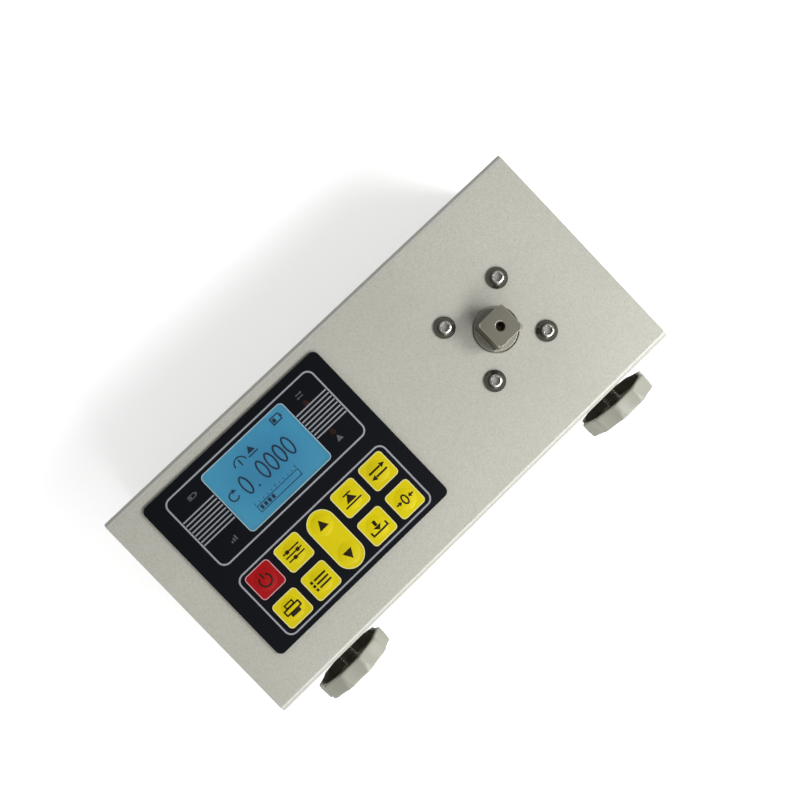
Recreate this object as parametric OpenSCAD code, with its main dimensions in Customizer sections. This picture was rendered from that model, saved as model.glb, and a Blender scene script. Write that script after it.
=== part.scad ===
// Bench torque tester. A bent sheet-steel case holds a membrane keypad with a display,
// a square drive on a torque transducer, and two scalloped levelling feet on one long wall.
// It lies on four rubber feet with +Z up. +X runs towards the drive, and the levelling
// feet point along -Y. The origin is on the table, under the middle of the whole part.

/* [Case] */
// Length of the case, along the keypad and the drive
case_l = 250; // [244:1:300]
// Width of the case, across its long walls
case_w = 118; // [114:1:150]
// Height of the case without its rubber feet
case_h = 65; // [62:1:90]
// Thickness of the sheet steel
sheet_t = 1.5; // [1:0.1:2]
// Outer radius of the bends
bend_r = 3; // [2.5:0.1:4]
// Width of the flange that each long wall turns under the case
flange_w = 12; // [11:0.5:14]
// Width of the lip at the top of each end wall
lip_w = 10; // [6:0.5:12]
// How far the end walls sit inside the cover's edges
end_recess = 1; // [0.5:0.1:2]
// Gap between the end walls and the cover
tray_gap = 0.3; // [0.2:0.1:0.6]

/* [Screws] */
// Radius of the small screws' thread
small_screw_r = 1.5; // [1.25:0.05:1.6]
// Radius of the small screws' heads
small_head_r = 2.8; // [2.5:0.1:3]
// Height of the small screws' heads
small_head_h = 1.8; // [1.2:0.1:2]
// Space round a screw in a clearance hole
hole_gap = 0.2; // [0.1:0.05:0.4]
// Screws that hold the cover, on each side
side_screws = 4; // [3:1:5]
// Distance of the outer cover screws from the ends
side_screw_inset = 22; // [20:1:26]

/* [Rubber feet] */
// Radius of a rubber foot where it meets the case
rest_r = 9; // [8:0.5:10]
// Height of a rubber foot
rest_h = 5; // [4.4:0.2:8]
// How much narrower the rubber foot is at the table
rest_taper = 1; // [0.5:0.1:2]
// Distance of the rubber feet from the case's sides
rest_inset = 22; // [20:1:26]
// Depth of the recess that holds the screw head
rest_recess = 2.2; // [2.1:0.1:2.4]

/* [Keypad] */
// Length of the keypad laminate
panel_l = 107; // [105:1:112]
// Corner radius of the laminate
panel_r = 3; // [2:0.5:4]
// Margin between the case's left end and the laminate
panel_left = 16.2; // [15:0.2:20]
// Margin between the case's lower edge and the laminate
panel_low = 19.6; // [18:0.2:22]
// Margin between the case's upper edge and the laminate
panel_high = 7.4; // [6:0.2:10]
// Thickness of the circuit film under the overlay
film_t = 0.3; // [0.2:0.05:0.5]
// Thickness of the overlay on the circuit film
overlay_t = 0.9; // [0.85:0.05:1.2]
// Side of a square key
key_size = 14.2; // [13:0.1:14.6]
// Corner radius of a key
key_r = 2; // [1:0.1:3]
// Thickness of a key's plate
key_t = 0.45; // [0.3:0.05:0.5]
// Slot round each key
key_gap = 0.15; // [0.1:0.05:0.25]
// Pitch of the key columns
key_pitch_x = 17.7; // [17.3:0.1:18.5]
// Pitch of the key rows
key_pitch_y = 17.9; // [17.3:0.1:18.5]
// Distance of the lower row from the laminate's lower edge
key_row_inset = 12; // [11:0.5:14]
// Offset of the key columns from the laminate's middle
grid_offset = 0.8; // [0:0.1:1.5]
// Diameter of the bulge over each switch
bulge_d = 10.8; // [9:0.1:12]
// Height of the bulge
bulge_h = 0.6; // [0.3:0.05:0.9]
// Diameter of a snap dome
dome_d = 8.4; // [7:0.1:10]
// Height of a snap dome that is pressed flat
dome_h = 0.08; // [0.05:0.01:0.09]

/* [Display] */
// Length of the display window
window_l = 49.4; // [46:0.1:52]
// Corner radius of the window
window_r = 2; // [1:0.1:3]
// Margin between the window and the laminate's upper edge
window_margin = 7.35; // [6:0.05:9]
// Distance of the window from the middle of the upper row of keys
window_lift = 19.65; // [17:0.05:22]
// Ledge of the cover that carries the window
window_ledge = 1; // [0.6:0.1:1.5]
// Thickness of the display glass
glass_t = 2.2; // [1.5:0.1:3]
// Thickness of the backlight
backlight_t = 2.5; // [2:0.1:4]

/* [Torque drive] */
// Distance of the drive's axis from the case's right end
drive_inset = 58.5; // [56:0.5:62]
// Width of the square drive across its flats
drive_af = 15; // [12:0.1:16]
// Height of the square above its round shoulder
drive_h = 12.5; // [10:0.5:20]
// Radius of the spindle and its shoulder
spindle_r = 10.5; // [10:0.1:11]
// Radius that the square's corners are turned down to
drive_corner_r = 10; // [8.5:0.1:10.5]
// Height of the round shoulder above the case
shoulder_h = 0.2; // [0:0.1:1]
// Gap between the spindle and the hole in the cover
spindle_gap = 0.75; // [0.5:0.05:1]
// Radius of the threaded hole in the drive
drive_hole_r = 2.1; // [1.65:0.05:2.5]
// Depth of the threaded hole
drive_hole_l = 12; // [8:0.5:14]
// Circle that the four drive screws lie on
bolt_pcd = 48.5; // [48:0.5:54]
// Radius of the drive screws' thread
bolt_r = 3; // [2.5:0.1:3.2]
// Radius of the drive screws' round heads
bolt_head_r = 5.25; // [4.75:0.05:5.5]
// Height of the drive screws' heads
bolt_head_h = 3.3; // [2.8:0.1:3.5]
// Height of the transducer housing
housing_h = 29; // [28:0.5:31]

/* [Levelling feet] */
// Distance of the levelling feet from the case's ends
foot_inset = 32.5; // [28:0.5:40]
// Radius of a levelling foot
foot_r = 20.5; // [18:0.5:24]
// Thickness of a levelling foot
foot_t = 8.5; // [8:0.5:12]
// Gap between a levelling foot and the wall
foot_gap = 8.5; // [7:0.5:10]
// Flutes round a levelling foot
foot_flutes = 10; // [8:1:12]
// Depth of a flute
flute_depth = 1.6; // [1:0.1:2.2]
// Radius of the threaded stud
stud_r = 3.95; // [3.45:0.05:4.45]
// Length of the stud inside the case
stud_inside = 15; // [14:0.5:18]
// Radial clearance of the stud in its nut and its foot
stud_gap = 0.05; // [0.03:0.01:0.08]

/* [Hidden] */
// Smoothness of true circles, and steps of a screw head's dome
$fn = 64;
dome_steps = 6;
// Overrun of every cut, and the reach past any width of a cut that goes right through
cut = 0.5;

// Places that everything on the case follows
case_y = (foot_gap + foot_t) / 2;
under_z = case_h - sheet_t;
half_l = case_l / 2;
half_w = case_w / 2;
panel_t = film_t + overlay_t;
panel_w = case_w - panel_low - panel_high;
// The window takes the width that the keys leave in the laminate
window_w = panel_w - key_row_inset - key_pitch_y - window_lift - window_margin;
panel_x = panel_left + panel_l / 2 - half_l;
panel_y = panel_low + panel_w / 2 - half_w;
grid_x = panel_x + grid_offset;
row_low = panel_y - panel_w / 2 + key_row_inset;
window_y = panel_y + (panel_w - window_w) / 2 - window_margin;
drive_x = half_l - drive_inset;
wall_x = half_l - end_recess;
foot_x = half_l - foot_inset;
foot_z = case_h / 2;

// Sheet-metal details
tray_top_gap = 0.1;
relief_gap = 0.5;
flange_relief = end_recess + bend_r + relief_gap;
small_screw_l = 6;
small_hole_r = small_screw_r + hole_gap;
small_socket_r = 1.1;
small_slot_w = 0.55;
head_dome_share = 0.7;
small_nut_af = 5.5;
small_nut_t = 2.4;
flange_screw_y = half_w - (bend_r + flange_w) / 2;
tail_slot_w = 1.2;
tail_slot_gap = 1;

// Keypad places: column and row of each key, and the pairs of steps from the middle column
power_place = [-2, 1];
print_place = [-2, 0];
set_place = [-1, 1];
view_place = [-1, 0];
peak_place = [1, 1];
save_place = [1, 0];
unit_place = [2, 1];
zero_place = [2, 0];
rocker_places = [[0, 0], [0, 1]];
KEY_PLACES = [power_place, print_place, set_place, view_place,
              peak_place, save_place, unit_place, zero_place];
window_fit = 0.05;
rocker_extra = 0.3;
rocker_w = key_pitch_y + key_size + rocker_extra;
dome_rim = 0.4;
tail_w = 12;
tail_t = 0.3;
tail_inset = 2.2;

// Display stack behind the window
glass_border = 2;
glass_l = window_l + 2 * glass_border;
glass_w = window_w + 2 * glass_border;
bezel_skin = 0.5;
bezel_wall = 0.6;
bezel_gap = 0.2;
bezel_h = bezel_skin + glass_t + backlight_t;
display_margin = 9;
display_board_l = glass_l + 2 * display_margin;
display_board_w = glass_w + 2 * display_margin - glass_border;
display_hole_inset = 4;
display_spacer_r = 3;
board_t = 1.6;
lamp_r = 1.5;
lamp_flange_r = 1.9;
lamp_flange_t = 1;
lamp_sink = 0.1;
lamp_gap = 8.3;
// Share of the window's width that each lamp stands off its middle
lamp_share = 0.264;
lamp_x = window_l / 2 + lamp_gap;
lamp_y = lamp_share * window_w;

// Transducer details
bolt_l = 12;
bolt_edge_h = 0.7;
bolt_socket_af = 4;
bolt_socket_l = 2;
plate_side = 60;
plate_t = 10;
plate_corner_r = 6;
housing_r = 22;
bearing_r = 16;
bearing_t = 7;
bearing_groove_r = 1;
bearing_groove_l = 0.4;
bore_gap = 2;
housing_bore_r = spindle_r + bore_gap;
spigot_h = 3;
spigot_gap = 0.05;
base_t = 5;
base_pcd = 34;
base_screw_r = 2;
base_screw_l = 14;
base_head_r = 3.5;
base_head_h = 4;
base_socket_af = 3;
neck_af = 12;
neck_top = 13;
drive_chamfer = 0.35;
drive_corner_taper = 0.9;
hole_chamfer = 0.6;
gauge_l = 7;
gauge_w = 5;
gauge_t = 0.3;
lead_hole_r = 2.2;
lead_r = 1.75;
lead_drop = 20;
lead_z = under_z - lead_drop;
lead_sides = 8;
lead_steps = 16;

// Main board and what stands on it
board_l = 110;
board_side_gap = 15;
board_w = case_w - 2 * board_side_gap;
board_lift = 8;
board_wall_gap = 1.5;
board_hole_inset = 5;
standoff_stub_r = 2.1;
board_z = sheet_t + board_lift + board_t;
board_left = -wall_x + sheet_t + board_wall_gap;
board_x = board_left + board_l / 2;
board_right = board_left + board_l;
connector_h = 6;
connector_w = 5;
connector_wall = 4;
part_gap = 3;
chip_h = 1.8;
shield_l = 16;
shield_w = 20;
shield_h = 5;
capacitor_r = 4;
capacitor_h = 11;
buzzer_r = 6;
buzzer_h = 9.5;
buzzer_hole_r = 1;
ribbon_w = 20;
ribbon_t = 0.6;
ribbon_bow = 6;
ribbon_steps = 12;
ribbon_inset = 8;
ribbon_y = window_y - display_board_w / 2 + ribbon_inset;
battery_lead_r = 0.75;
battery_lead_slack = 35;
battery_plug_y = -18;
sensor_plug_x = board_right - 2 * connector_w;
// The shield and the buzzer stand beside the sockets at the board's right end
beside_plug_x = sensor_plug_x - connector_w - part_gap - board_x;
// Shares of the board's length and width: each chip's middle, then shares of the length: its sides
chip_share = [[-0.1, -0.2, 0.13, 0.13], [0.045, -0.2, 0.06, 0.09], [-0.26, -0.25, 0.09, 0.06]];
// Shares of the board's length and width: the middle of each capacitor
capacitor_share = [[-0.3, 0.41], [-0.2, 0.41], [-0.1, 0.41]];

// Ports in the left end wall
port_gap = 0.3;
jack_w = 9;
jack_h = 11;
jack_l = 14;
jack_hole_r = 3.1;
jack_hole_l = 9.5;
jack_pin_r = 1;
jack_pin_l = 8;
jack_inset = 22;
jack_y = board_w / 2 - jack_inset;
usb_w = 12;
usb_h = 11;
usb_l = 16;
usb_slot_w = 8.45;
usb_slot_h = 7.8;
usb_slot_l = 9;
usb_tongue_w = 5.6;
usb_tongue_h = 3.2;
usb_tongue_l = 8;
usb_y = -4;

// Batteries under the transducer
cell_count = 5;
cell_r = 5.25;
cell_l = 44.5;
cell_space = 0.2;
cell_button_r = 1.9;
cell_button_h = 0.8;
holder_wall = 1.6;
holder_h = 7;
holder_end_gap = 1.5;
holder_l = cell_count * (2 * cell_r + cell_space) + cell_space + 2 * holder_wall;
holder_w = cell_l + 2 * holder_end_gap + 2 * holder_wall;
holder_ear = 10;

// Levelling-foot details
flute_r = 9;
foot_chamfer = 0.8;
foot_hub_r = 9;
foot_rim = 3.6;
foot_hollow = 5;
foot_socket_l = 6;
stud_end_gap = 0.3;
stud_chamfer = 0.8;
notch_w = 2.8;
notch_l = 3.6;
notch_depth = 1.4;
wall_hole_gap = 0.45;
stud_nut_af = 13;
stud_nut_t = 6.5;

// Radius of the sphere whose cap has this radius and height
function cap_r(r, h) = (r * r + h * h) / (2 * h);

// Radius of the corners of a hexagon, from its width across the flats
function hex_r(af) = af / 2 / cos(30);

// Where a key's centre lies on the case, from its column and row
function key_at(place) = [grid_x + place[0] * key_pitch_x, row_low + place[1] * key_pitch_y, 0];

// Places of the four rubber feet, the cover screws and the drive screws
function rest_places() =
    [for (x = [-1, 1], y = [-1, 1]) [x * (half_l - rest_inset), y * (half_w - rest_inset), 0]];
function side_places() =
    [for (y = [-1, 1], i = [0 : side_screws - 1])
        [(case_l - 2 * side_screw_inset) * (i / (side_screws - 1) - 1 / 2), y * flange_screw_y, 0]];
function circle_places(pcd) =
    [for (a = [45 : 90 : 315]) [pcd / 2 * cos(a), pcd / 2 * sin(a), 0]];
function corner_places(l, w, inset) =
    [for (x = [-1, 1], y = [-1, 1]) [x * (l / 2 - inset), y * (w / 2 - inset), 0]];

// The case's own frame: on its middle, at the tray's underside, or on its top face
module on_case() translate([0, case_y, rest_h]) children();
module on_top() translate([0, case_y, rest_h + case_h]) children();
module on_drive() on_case() translate([drive_x, 0, 0]) children();
module on_display() on_case() translate([grid_x, window_y, under_z]) children();
module on_board() on_case() translate([board_x, 0, board_z]) children();

module at_each(places) for (p = places) translate(p) children();

// Outline with rounded corners about the origin, and a plate of that outline
module rounded_outline(l, w, r) {
    square([l - 2 * r, w], center = true);
    square([l, w - 2 * r], center = true);
    for (x = [-1, 1], y = [-1, 1]) translate([x * (l / 2 - r), y * (w / 2 - r)]) circle(r);
}

module rounded_plate(l, w, r, t) linear_extrude(t) rounded_outline(l, w, r);

// A plate with two half-round ends, longer along Y
module long_plate(l, w, t) linear_extrude(t) {
    square([l, w - l], center = true);
    for (y = [-1, 1]) translate([0, y * (w - l) / 2]) circle(l / 2);
}

// A sheet folded down at both sides and turned in again, as wide and high as given
module folded_sheet(width, height, lip, length)
    linear_extrude(length, center = true) translate([0, height / 2]) difference() {
        rounded_outline(width, height, bend_r);
        rounded_outline(width - 2 * sheet_t, height - 2 * sheet_t, bend_r - sheet_t);
        translate([0, -height / 2]) square([width - 2 * lip, 2 * (sheet_t + cut)], center = true);
    }

// A round head on zero, as a turned profile: a straight edge, then the arc of a dome
module round_head(r, h, edge) {
    dome_r = cap_r(r, h - edge);
    half = asin(r / dome_r);
    rotate_extrude() polygon(concat([[0, 0], [r, 0]],
        [for (i = [0 : dome_steps]) let (a = half * (1 - i / dome_steps))
            [dome_r * sin(a), h - dome_r + dome_r * cos(a)]]));
}

// A screw with its head up at zero and its shank down, and a cross cut in its head
module small_screw(length) {
    difference() {
        union() {
            round_head(small_head_r, small_head_h, small_head_h * (1 - head_dome_share));
            translate([0, 0, -length]) cylinder(r = small_screw_r, h = length + small_head_h / 2);
        }
        translate([0, 0, small_head_h / 2]) for (a = [0, 90]) rotate(a)
            translate([-small_socket_r, -small_slot_w / 2, 0])
                cube([2 * small_socket_r, small_slot_w, small_head_h]);
    }
}

module hex_nut(af, t, hole_r) {
    difference() {
        cylinder(r = hex_r(af), h = t, $fn = 6);
        translate([0, 0, -cut]) cylinder(r = hole_r, h = t + 2 * cut);
    }
}

// Upper shell: top face and both long walls in one sheet, with flanges turned in below
module top_cover() color("#c8c6ba") on_case() difference() {
    rotate([90, 0, 90]) translate([0, sheet_t, 0])
        folded_sheet(case_w, case_h - sheet_t, flange_w, case_l);
    for (x = [-1, 1])
        translate([x * (half_l - (flange_relief - cut) / 2), 0, sheet_t])
            cube([flange_relief + cut, case_w - 2 * bend_r, 2 * (sheet_t + cut)], center = true);
    translate([grid_x, window_y, under_z - cut])
        rounded_plate(window_l - 2 * window_ledge, window_w - 2 * window_ledge, window_r,
                      sheet_t + 2 * cut);
    for (y = [-1, 1])
        translate([grid_x + lamp_x, window_y + y * lamp_y, under_z - cut])
            cylinder(r = lamp_r + hole_gap, h = sheet_t + 2 * cut);
    translate([grid_x, panel_y - panel_w / 2 + tail_inset, case_h])
        cube([tail_w + 2 * tail_slot_gap, tail_slot_w, 2 * (sheet_t + cut)], center = true);
    translate([drive_x, 0, under_z - cut]) {
        cylinder(r = spindle_r + spindle_gap, h = sheet_t + 2 * cut);
        at_each(circle_places(bolt_pcd)) cylinder(r = bolt_r + hole_gap, h = sheet_t + 2 * cut);
    }
    at_each(side_places())
        translate([0, 0, sheet_t - cut]) cylinder(r = small_screw_r, h = sheet_t + 2 * cut);
    for (x = [-1, 1])
        translate([x * foot_x, cut + sheet_t - half_w, foot_z]) rotate([90, 0, 0])
            cylinder(r = stud_r + wall_hole_gap, h = sheet_t + 2 * cut);
}

// End view of the tray: it clears the cover's bends and the flanges
module tray_end_outline() {
    shoulder_z = sheet_t + bend_r;
    high = under_z - tray_top_gap;
    square([case_w - 2 * (bend_r + tray_gap), high], center = true);
    translate([0, (high + shoulder_z) / 2])
        rounded_outline(case_w - 2 * (sheet_t + tray_gap), high - shoulder_z, bend_r - sheet_t);
}

// Lower shell: bottom and both end walls in one sheet, with the ports cut in the left wall
module base_tray() color("#c8c6ba") on_case() difference() {
    intersection() {
        translate([0, 0, under_z - tray_top_gap]) rotate([-90, 0, 0])
            folded_sheet(2 * wall_x, under_z - tray_top_gap, lip_w, case_w);
        rotate([90, 0, 90]) linear_extrude(case_l, center = true) tray_end_outline();
    }
    at_each(side_places()) translate([0, 0, -cut]) cylinder(r = small_hole_r, h = sheet_t + 2 * cut);
    at_each(rest_places()) translate([0, 0, -cut]) cylinder(r = small_hole_r, h = sheet_t + 2 * cut);
    translate([board_x, 0, -cut]) at_each(corner_places(board_l, board_w, board_hole_inset))
        cylinder(r = standoff_stub_r, h = sheet_t + 2 * cut);
    translate([drive_x, 0, -cut]) at_each(ear_places())
        cylinder(r = small_screw_r, h = sheet_t + 2 * cut);
    translate([-wall_x - cut, jack_y - jack_w / 2 - port_gap, board_z - port_gap])
        cube([sheet_t + 2 * cut, jack_w + 2 * port_gap, jack_h + 2 * port_gap]);
    translate([-wall_x - cut, usb_y - usb_w / 2 - port_gap, board_z - port_gap])
        cube([sheet_t + 2 * cut, usb_w + 2 * port_gap, usb_h + 2 * port_gap]);
}

// Screws from below, through the tray into the cover's flanges
module cover_screws() color("#8d8b84") on_case() at_each(side_places())
    rotate([180, 0, 0]) small_screw(small_screw_l);

// Rubber feet, each with a recess that hides its screw
module rubber_feet() color("#1c1c1e") on_case() at_each(rest_places()) difference() {
    translate([0, 0, -rest_h]) cylinder(r1 = rest_r - rest_taper, r2 = rest_r, h = rest_h);
    translate([0, 0, -rest_h - cut]) cylinder(r = small_head_r + 2 * hole_gap, h = rest_recess + cut);
    translate([0, 0, -rest_h]) cylinder(r = small_hole_r, h = rest_h + cut);
}

module rubber_foot_screws() color("#8d8b84") on_case() at_each(rest_places())
    translate([0, 0, rest_recess - rest_h]) rotate([180, 0, 0])
        small_screw(rest_h - rest_recess + sheet_t + small_nut_t);

module rubber_foot_nuts() color("#8d8b84") on_case() at_each(rest_places())
    translate([0, 0, sheet_t]) hex_nut(small_nut_af, small_nut_t, small_screw_r);

// Opening that the window fills, cut through the laminate's layers
module window_opening(t) translate([grid_x - panel_x, window_y - panel_y, -cut]) {
    rounded_plate(window_l + 2 * window_fit, window_w + 2 * window_fit, window_r, t + 2 * cut);
    for (y = [-1, 1])
        translate([lamp_x, y * lamp_y, 0]) cylinder(r = lamp_r + hole_gap, h = t + 2 * cut);
}

// Black overlay with a slotted-out pocket for each key and for the rocker
module keypad_overlay() color("#101216") on_top() difference() {
    translate([panel_x, panel_y, film_t]) difference() {
        rounded_plate(panel_l, panel_w, panel_r, overlay_t);
        window_opening(overlay_t);
    }
    at_each([for (place = KEY_PLACES) key_at(place)])
        rounded_plate(key_size + 2 * key_gap, key_size + 2 * key_gap, key_r + key_gap, panel_t + cut);
    translate(key_at([0, 1 / 2]))
        long_plate(key_size + 2 * key_gap, rocker_w + 2 * key_gap, panel_t + cut);
}

// Circuit film that the domes sit on
module keypad_circuit() color("#20242c") on_top() translate([panel_x, panel_y, 0]) difference() {
    rounded_plate(panel_l, panel_w, panel_r, film_t);
    window_opening(film_t);
}

// Snap domes under the keys and under both ends of the rocker, drawn pressed flat
module snap_domes() color("#b9b9b4") on_top()
    at_each([for (place = concat(KEY_PLACES, rocker_places)) key_at(place)])
        translate([0, 0, film_t]) cylinder(r1 = dome_d / 2, r2 = dome_d / 2 - dome_rim, h = dome_h);

// Points of a strip that hangs in a slow bow from one height to another
function strip_points(low, high, bow, t) =
    let (side = [for (i = [0 : ribbon_steps])
        let (s = i / ribbon_steps) [bow * (1 - cos(360 * s)) / 2, low + (high - low) * s]])
    concat(side, [for (i = [ribbon_steps : -1 : 0]) side[i] + [t, 0]]);

module hanging_strip(low, high, bow, w, t)
    rotate([90, 0, 90]) linear_extrude(w, center = true) polygon(strip_points(low, high, bow, t));

// Flat tail of the keypad, through its slot in the cover down to the board
module keypad_tail() color("#c7b27c") on_case()
    translate([grid_x, panel_y - panel_w / 2 + tail_inset - tail_t / 2, 0])
        hanging_strip(board_z + connector_h, case_h, ribbon_bow, tail_w, tail_t);

// Clear window, on the ledge round the opening in the cover
module display_window() color("#9fd0e6") on_top() translate([grid_x, window_y, 0])
    rounded_plate(window_l, window_w, window_r, panel_t);

// Bent metal frame that holds the glass and the backlight on the display board
module lcd_bezel() color("#8a8c8e") on_display() difference() {
    outer_l = glass_l + 2 * (bezel_wall + bezel_gap);
    outer_w = glass_w + 2 * (bezel_wall + bezel_gap);
    translate([0, 0, -bezel_h]) rounded_plate(outer_l, outer_w, bezel_wall, bezel_h);
    translate([-glass_l / 2 - bezel_gap, -glass_w / 2 - bezel_gap, -bezel_h - cut])
        cube([glass_l + 2 * bezel_gap, glass_w + 2 * bezel_gap, bezel_h - bezel_skin + cut]);
    translate([0, 0, -bezel_h]) rounded_plate(window_l, window_w, window_r, bezel_h + cut);
}

module lcd_glass() color("#5fa3c6") on_display()
    translate([-glass_l / 2, -glass_w / 2, -bezel_skin - glass_t]) cube([glass_l, glass_w, glass_t]);

module lcd_backlight() color("#e8eef0") on_display()
    translate([-glass_l / 2, -glass_w / 2, -bezel_h]) cube([glass_l, glass_w, backlight_t]);

module lcd_board() color("#1f5a38") on_display() translate([0, 0, -bezel_h - board_t]) difference() {
    rounded_plate(display_board_l, display_board_w, bezel_gap + bezel_wall, board_t);
    at_each(corner_places(display_board_l, display_board_w, display_hole_inset))
        translate([0, 0, -cut]) cylinder(r = small_hole_r, h = board_t + 2 * cut);
}

// Threaded spacers welded under the cover
module lcd_spacers() color("#b0afa8") on_display()
    at_each(corner_places(display_board_l, display_board_w, display_hole_inset))
        translate([0, 0, -bezel_h]) difference() {
            cylinder(r = display_spacer_r, h = bezel_h);
            translate([0, 0, -cut]) cylinder(r = small_screw_r, h = bezel_h - bezel_skin + cut);
        }

module lcd_screws() color("#8d8b84") on_display()
    at_each(corner_places(display_board_l, display_board_w, display_hole_inset))
        translate([0, 0, -bezel_h - board_t]) rotate([180, 0, 0]) small_screw(board_t + bezel_h - cut * 2);

// Two judgement lamps on the display board, up through the cover and the laminate
module indicator_lamps() color("#3a2020") on_display() for (y = [-1, 1])
    translate([lamp_x, y * lamp_y, -bezel_h]) {
        cylinder(r = lamp_flange_r, h = lamp_flange_t);
        cylinder(r = lamp_r, h = bezel_h + sheet_t + panel_t - lamp_sink);
    }

module display_ribbon() color("#9a9da2") on_case() translate([grid_x, ribbon_y, 0])
    hanging_strip(board_z + connector_h, under_z - bezel_h - board_t, ribbon_bow, ribbon_w, ribbon_t);

// Transducer housing: a plate under the cover with a tube below it
module transducer_housing() color("#a9abad") on_drive() translate([0, 0, under_z]) difference() {
    union() {
        translate([0, 0, -plate_t]) rounded_plate(plate_side, plate_side, plate_corner_r, plate_t);
        translate([0, 0, -housing_h]) cylinder(r = housing_r, h = housing_h - plate_t / 2);
    }
    translate([0, 0, -housing_h - cut]) cylinder(r = housing_bore_r, h = housing_h + 2 * cut);
    translate([0, 0, -bearing_t]) cylinder(r = bearing_r, h = bearing_t + cut);
    at_each(circle_places(bolt_pcd)) translate([0, 0, -plate_t - cut])
        cylinder(r = bolt_r, h = plate_t + 2 * cut);
    at_each(circle_places(base_pcd)) translate([0, 0, -housing_h - cut])
        cylinder(r = base_screw_r, h = base_screw_l - base_t + cut);
    translate([0, 0, lead_z - under_z]) rotate([0, -90, 0])
        cylinder(r = lead_hole_r, h = housing_r + cut);
}

// Shielded ball bearing that takes side load off the gauges
module support_bearing() color("#b9bbbd") on_drive() translate([0, 0, under_z - bearing_t])
    difference() {
        cylinder(r = bearing_r, h = bearing_t);
        translate([0, 0, -cut]) cylinder(r = spindle_r, h = bearing_t + 2 * cut);
        for (z = [-cut, bearing_t - bearing_groove_l]) translate([0, 0, z]) difference() {
            cylinder(r = bearing_r - bearing_groove_r, h = bearing_groove_l + cut);
            translate([0, 0, -cut])
                cylinder(r = spindle_r + bearing_groove_r, h = bearing_groove_l + 3 * cut);
        }
    }

// Square drive, round spindle, square gauge neck and base flange in one piece of steel
module torque_transducer() color("#87826f") on_drive() difference() {
    drive_z = case_h + shoulder_h;
    base_z = under_z - housing_h;
    neck_z = base_z + spigot_h;
    union() {
        intersection() {
            translate([-drive_af / 2, -drive_af / 2, drive_z]) cube([drive_af, drive_af, drive_h]);
            translate([0, 0, drive_z]) {
                cylinder(r = drive_corner_r, h = drive_h - drive_corner_taper);
                translate([0, 0, drive_h - drive_corner_taper])
                    cylinder(r1 = drive_corner_r, r2 = drive_corner_r - drive_corner_taper,
                             h = drive_corner_taper);
            }
        }
        translate([0, 0, under_z - neck_top]) cylinder(r = spindle_r, h = drive_z - under_z + neck_top);
        translate([-neck_af / 2, -neck_af / 2, base_z]) cube([neck_af, neck_af, housing_h - neck_top]);
        translate([0, 0, base_z]) cylinder(r = housing_bore_r - spigot_gap, h = neck_z - base_z);
        translate([0, 0, base_z - base_t]) cylinder(r = housing_r, h = base_t);
    }
    for (a = [0 : 90 : 270]) rotate(a) translate([drive_af / 2, 0, drive_z + drive_h])
        rotate([0, 45, 0])
            cube([sqrt(2) * drive_chamfer, 2 * drive_af, sqrt(2) * drive_chamfer], center = true);
    translate([0, 0, drive_z + drive_h - drive_hole_l])
        cylinder(r = drive_hole_r, h = drive_hole_l + cut);
    translate([0, 0, drive_z + drive_h - hole_chamfer])
        cylinder(r1 = drive_hole_r, r2 = drive_hole_r + hole_chamfer, h = hole_chamfer);
    at_each(circle_places(base_pcd)) translate([0, 0, base_z - base_t - cut])
        cylinder(r = base_screw_r + hole_gap, h = base_t + 2 * cut);
}

module strain_gauges() color("#c98a3c") on_drive()
    translate([0, 0, (2 * under_z - neck_top - housing_h + spigot_h) / 2]) for (a = [0 : 90 : 270])
        rotate(a) translate([neck_af / 2, -gauge_w / 2, -gauge_l / 2]) cube([gauge_t, gauge_w, gauge_l]);

// Socket-head screws that hold the base flange to the housing
module transducer_bolts() color("#2b2b2d") on_drive() translate([0, 0, under_z - housing_h - base_t])
    at_each(circle_places(base_pcd)) difference() {
        union() {
            translate([0, 0, -base_head_h]) cylinder(r = base_head_r, h = base_head_h);
            cylinder(r = base_screw_r, h = base_screw_l - cut);
        }
        translate([0, 0, -base_head_h - cut])
            cylinder(r = hex_r(base_socket_af), h = base_head_h / 2 + cut, $fn = 6);
    }

// Button-head socket screws round the drive
module head_screws() color("#9a988e") on_drive() translate([0, 0, case_h])
    at_each(circle_places(bolt_pcd)) difference() {
        union() {
            round_head(bolt_head_r, bolt_head_h, bolt_edge_h);
            translate([0, 0, -bolt_l]) cylinder(r = bolt_r, h = bolt_l + bolt_edge_h);
        }
        translate([0, 0, bolt_head_h - bolt_socket_l])
            cylinder(r = hex_r(bolt_socket_af), h = bolt_socket_l + cut, $fn = 6);
    }

// A point on the smooth curve through four poles, which share one value of Y
function lead_point(poles, s) =
    pow(1 - s, 3) * poles[0] + 3 * s * pow(1 - s, 2) * poles[1]
        + 3 * s * s * (1 - s) * poles[2] + pow(s, 3) * poles[3];

// A ring of a lead's surface, square to its curve
function lead_ring(poles, i, r) =
    let (s = i / lead_steps,
         here = lead_point(poles, s),
         way = lead_point(poles, s + 1 / lead_steps / lead_steps) - here,
         tilt = atan2(way[2], way[0]))
    [for (j = [0 : lead_sides - 1]) let (a = 360 * j / lead_sides)
        here + r * [cos(a) * sin(tilt), sin(a), -cos(a) * cos(tilt)]];

// A round lead as one swept surface with flat ends
module lead(poles, r) {
    n = lead_sides;
    points = [for (i = [0 : lead_steps]) each lead_ring(poles, i, r)];
    walls = [for (i = [0 : lead_steps - 1], j = [0 : n - 1])
        let (a = i * n + j, b = i * n + (j + 1) % n) each [[a, b, b + n], [a, b + n, a + n]]];
    caps = [[for (j = [0 : n - 1]) n - 1 - j], [for (j = [0 : n - 1]) lead_steps * n + j]];
    polyhedron(points, concat(walls, caps));
}

// Gauge lead, out of the housing's side and down on the main board
module sensor_lead() color("#4a4a4c") on_case() {
    start = [drive_x - housing_bore_r, 0, lead_z];
    finish = [sensor_plug_x, 0, board_z + connector_h];
    over = [finish[0], 0, lead_z];
    lead([start, over, over, finish], lead_r);
}

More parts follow.
